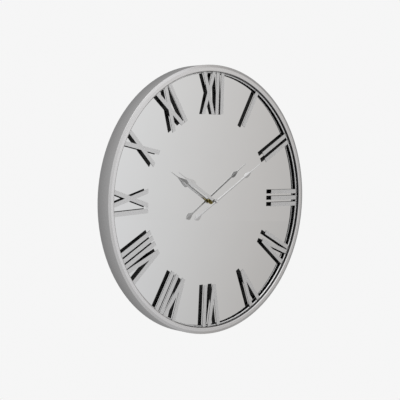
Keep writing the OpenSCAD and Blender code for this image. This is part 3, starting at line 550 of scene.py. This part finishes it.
# Studio light: a room tone, a soft glow and a lamp overhead, seen in the mirror and the metal.
# Stops of the room and its tint run once around the clock: 0.5 is straight ahead of it, more is to the right.
# Heights are those of a direction of length 1.
BACKDROP = 0.92
ROOM_LOW = [(0.00, 0.27), (0.28, 0.30), (0.45, 0.57), (0.585, 0.43),
            (0.68, 0.40), (0.79, 0.30), (1.00, 0.27)]
ROOM_HIGH = [(0.00, 0.36), (0.28, 0.38), (0.45, 0.52), (0.585, 0.33),
             (0.68, 0.29), (0.79, 0.23), (1.00, 0.36)]
GLOW = 0.56
GLOW_TURN = math.radians(31)
GLOW_LEFT = math.radians(16.9)
GLOW_RIGHT = math.radians(12.6)
GLOW_HEIGHT = 0.295
GLOW_BELOW = 0.476
GLOW_ABOVE = 0.30
CEILING = 1.0
CEILING_PLACE = (-0.19, -0.54, 0.82)
CEILING_EDGE = 0.80
CEILING_FULL = 0.97
NEUTRAL = 0.974
TINT_LIFT = 1.027
TINTS = [(0.55, NEUTRAL), (0.600, (NEUTRAL, NEUTRAL, 0.990)), (0.612, NEUTRAL),
         (0.632, (1.0, NEUTRAL, 0.952)), (0.75, NEUTRAL)]


def steps_squared(tree, value, centre, width_below, width_above):
    """Square of how far a value lies from the glow's centre, in widths that differ on the two sides."""
    away = tree.math("SUBTRACT", value, centre)
    below = tree.math("DIVIDE", tree.math("MINIMUM", away, 0.0), width_below)
    above = tree.math("DIVIDE", tree.math("MAXIMUM", away, 0.0), width_above)
    steps = tree.math("ADD", below, above)
    return tree.math("MULTIPLY", steps, steps)


def surround_colour(tree, direction):
    """Seen directly, a plain pale backdrop; as light and in reflections, the studio around the clock."""
    axes = tree.axes(direction)
    turn = tree.math("ARCTAN2", axes["X"], tree.math("MULTIPLY", axes["Y"], -1.0))
    around = tree.math("MULTIPLY_ADD", turn, 0.5 / math.pi, 0.5)
    height = tree.math("MULTIPLY_ADD", axes["Z"], 0.5, 0.5)
    room = tree.mix(height, tree.ramp(around, ROOM_LOW, "EASE"), tree.ramp(around, ROOM_HIGH, "EASE"))
    spread = tree.math("ADD", steps_squared(tree, turn, GLOW_TURN, GLOW_LEFT, GLOW_RIGHT),
                       steps_squared(tree, axes["Z"], GLOW_HEIGHT, GLOW_BELOW, GLOW_ABOVE))
    fade = tree.math("EXPONENT", tree.math("MULTIPLY", spread, -0.5))
    overhead = tree.step(tree.dot(direction, CEILING_PLACE), CEILING_EDGE, CEILING_FULL)
    lit = tree.math("MULTIPLY_ADD", fade, GLOW, tree.math("MULTIPLY_ADD", overhead, CEILING, room))
    lifted = tree.math("MULTIPLY", lit, TINT_LIFT)
    tinted = tree.vector_math("MULTIPLY", tree.ramp(around, TINTS), lifted)
    seen = tree.add("ShaderNodeLightPath").outputs["Is Camera Ray"]
    return tree.mix(seen, tinted, BACKDROP)


world = bpy.data.worlds.new("studio")
scene.world = world
world.use_nodes = True
sky = Tree(world.node_tree)
sky_direction = sky.add("ShaderNodeTexCoord").outputs["Generated"]
sky_light = sky.add("ShaderNodeBackground", {"Color": surround_colour(sky, sky_direction), "Strength": 1.0})
sky.add("ShaderNodeOutputWorld", {"Surface": sky_light.outputs[0]})

# Floor: a pale disc well below the clock
FLOOR_DROP = 1.1
FLOOR_RADIUS = 14.0
FLOOR_SIDES = 96


def floor_paint(tree):
    """Shines like the studio in the same direction, so that the floor has no edge."""
    place = tree.add("ShaderNodeNewGeometry").outputs["Position"]
    direction = tree.vector_math("NORMALIZE", tree.vector_math("SUBTRACT", place, tuple(DIAL)))
    return tree.add("ShaderNodeEmission", {"Color": surround_colour(tree, direction)})


floor_rim = [(*on_arc((0, 0), FLOOR_RADIUS, 360 * i / FLOOR_SIDES), 0) for i in range(FLOOR_SIDES)]
floor_mesh = bpy.data.meshes.new("pale_floor")
floor_mesh.from_pydata(floor_rim, [], [tuple(range(FLOOR_SIDES))])
floor = bpy.data.objects.new("pale_floor", floor_mesh)
floor.location = DIAL + Vector((0, 0, -FLOOR_DROP))
floor_mesh.materials.append(material("pale_floor", floor_paint))
scene.collection.objects.link(floor)

# A soft light on the back of the clock, which the mirror and the metal don't show
BACK_LIGHT_PLACE = Vector((0.3, 2.6, 0.7))
BACK_LIGHT_SIDE = 1.6
BACK_LIGHT_POWER = 60

back_light_data = bpy.data.lights.new("back_light", "AREA")
back_light_data.shape = "SQUARE"
back_light_data.size = BACK_LIGHT_SIDE
back_light_data.energy = BACK_LIGHT_POWER
back_light = bpy.data.objects.new("back_light", back_light_data)
back_light.location = DIAL + BACK_LIGHT_PLACE
back_light.rotation_euler = (-BACK_LIGHT_PLACE).to_track_quat("-Z", "Y").to_euler()
back_light.visible_camera = False
back_light.visible_glossy = False
scene.collection.objects.link(back_light)
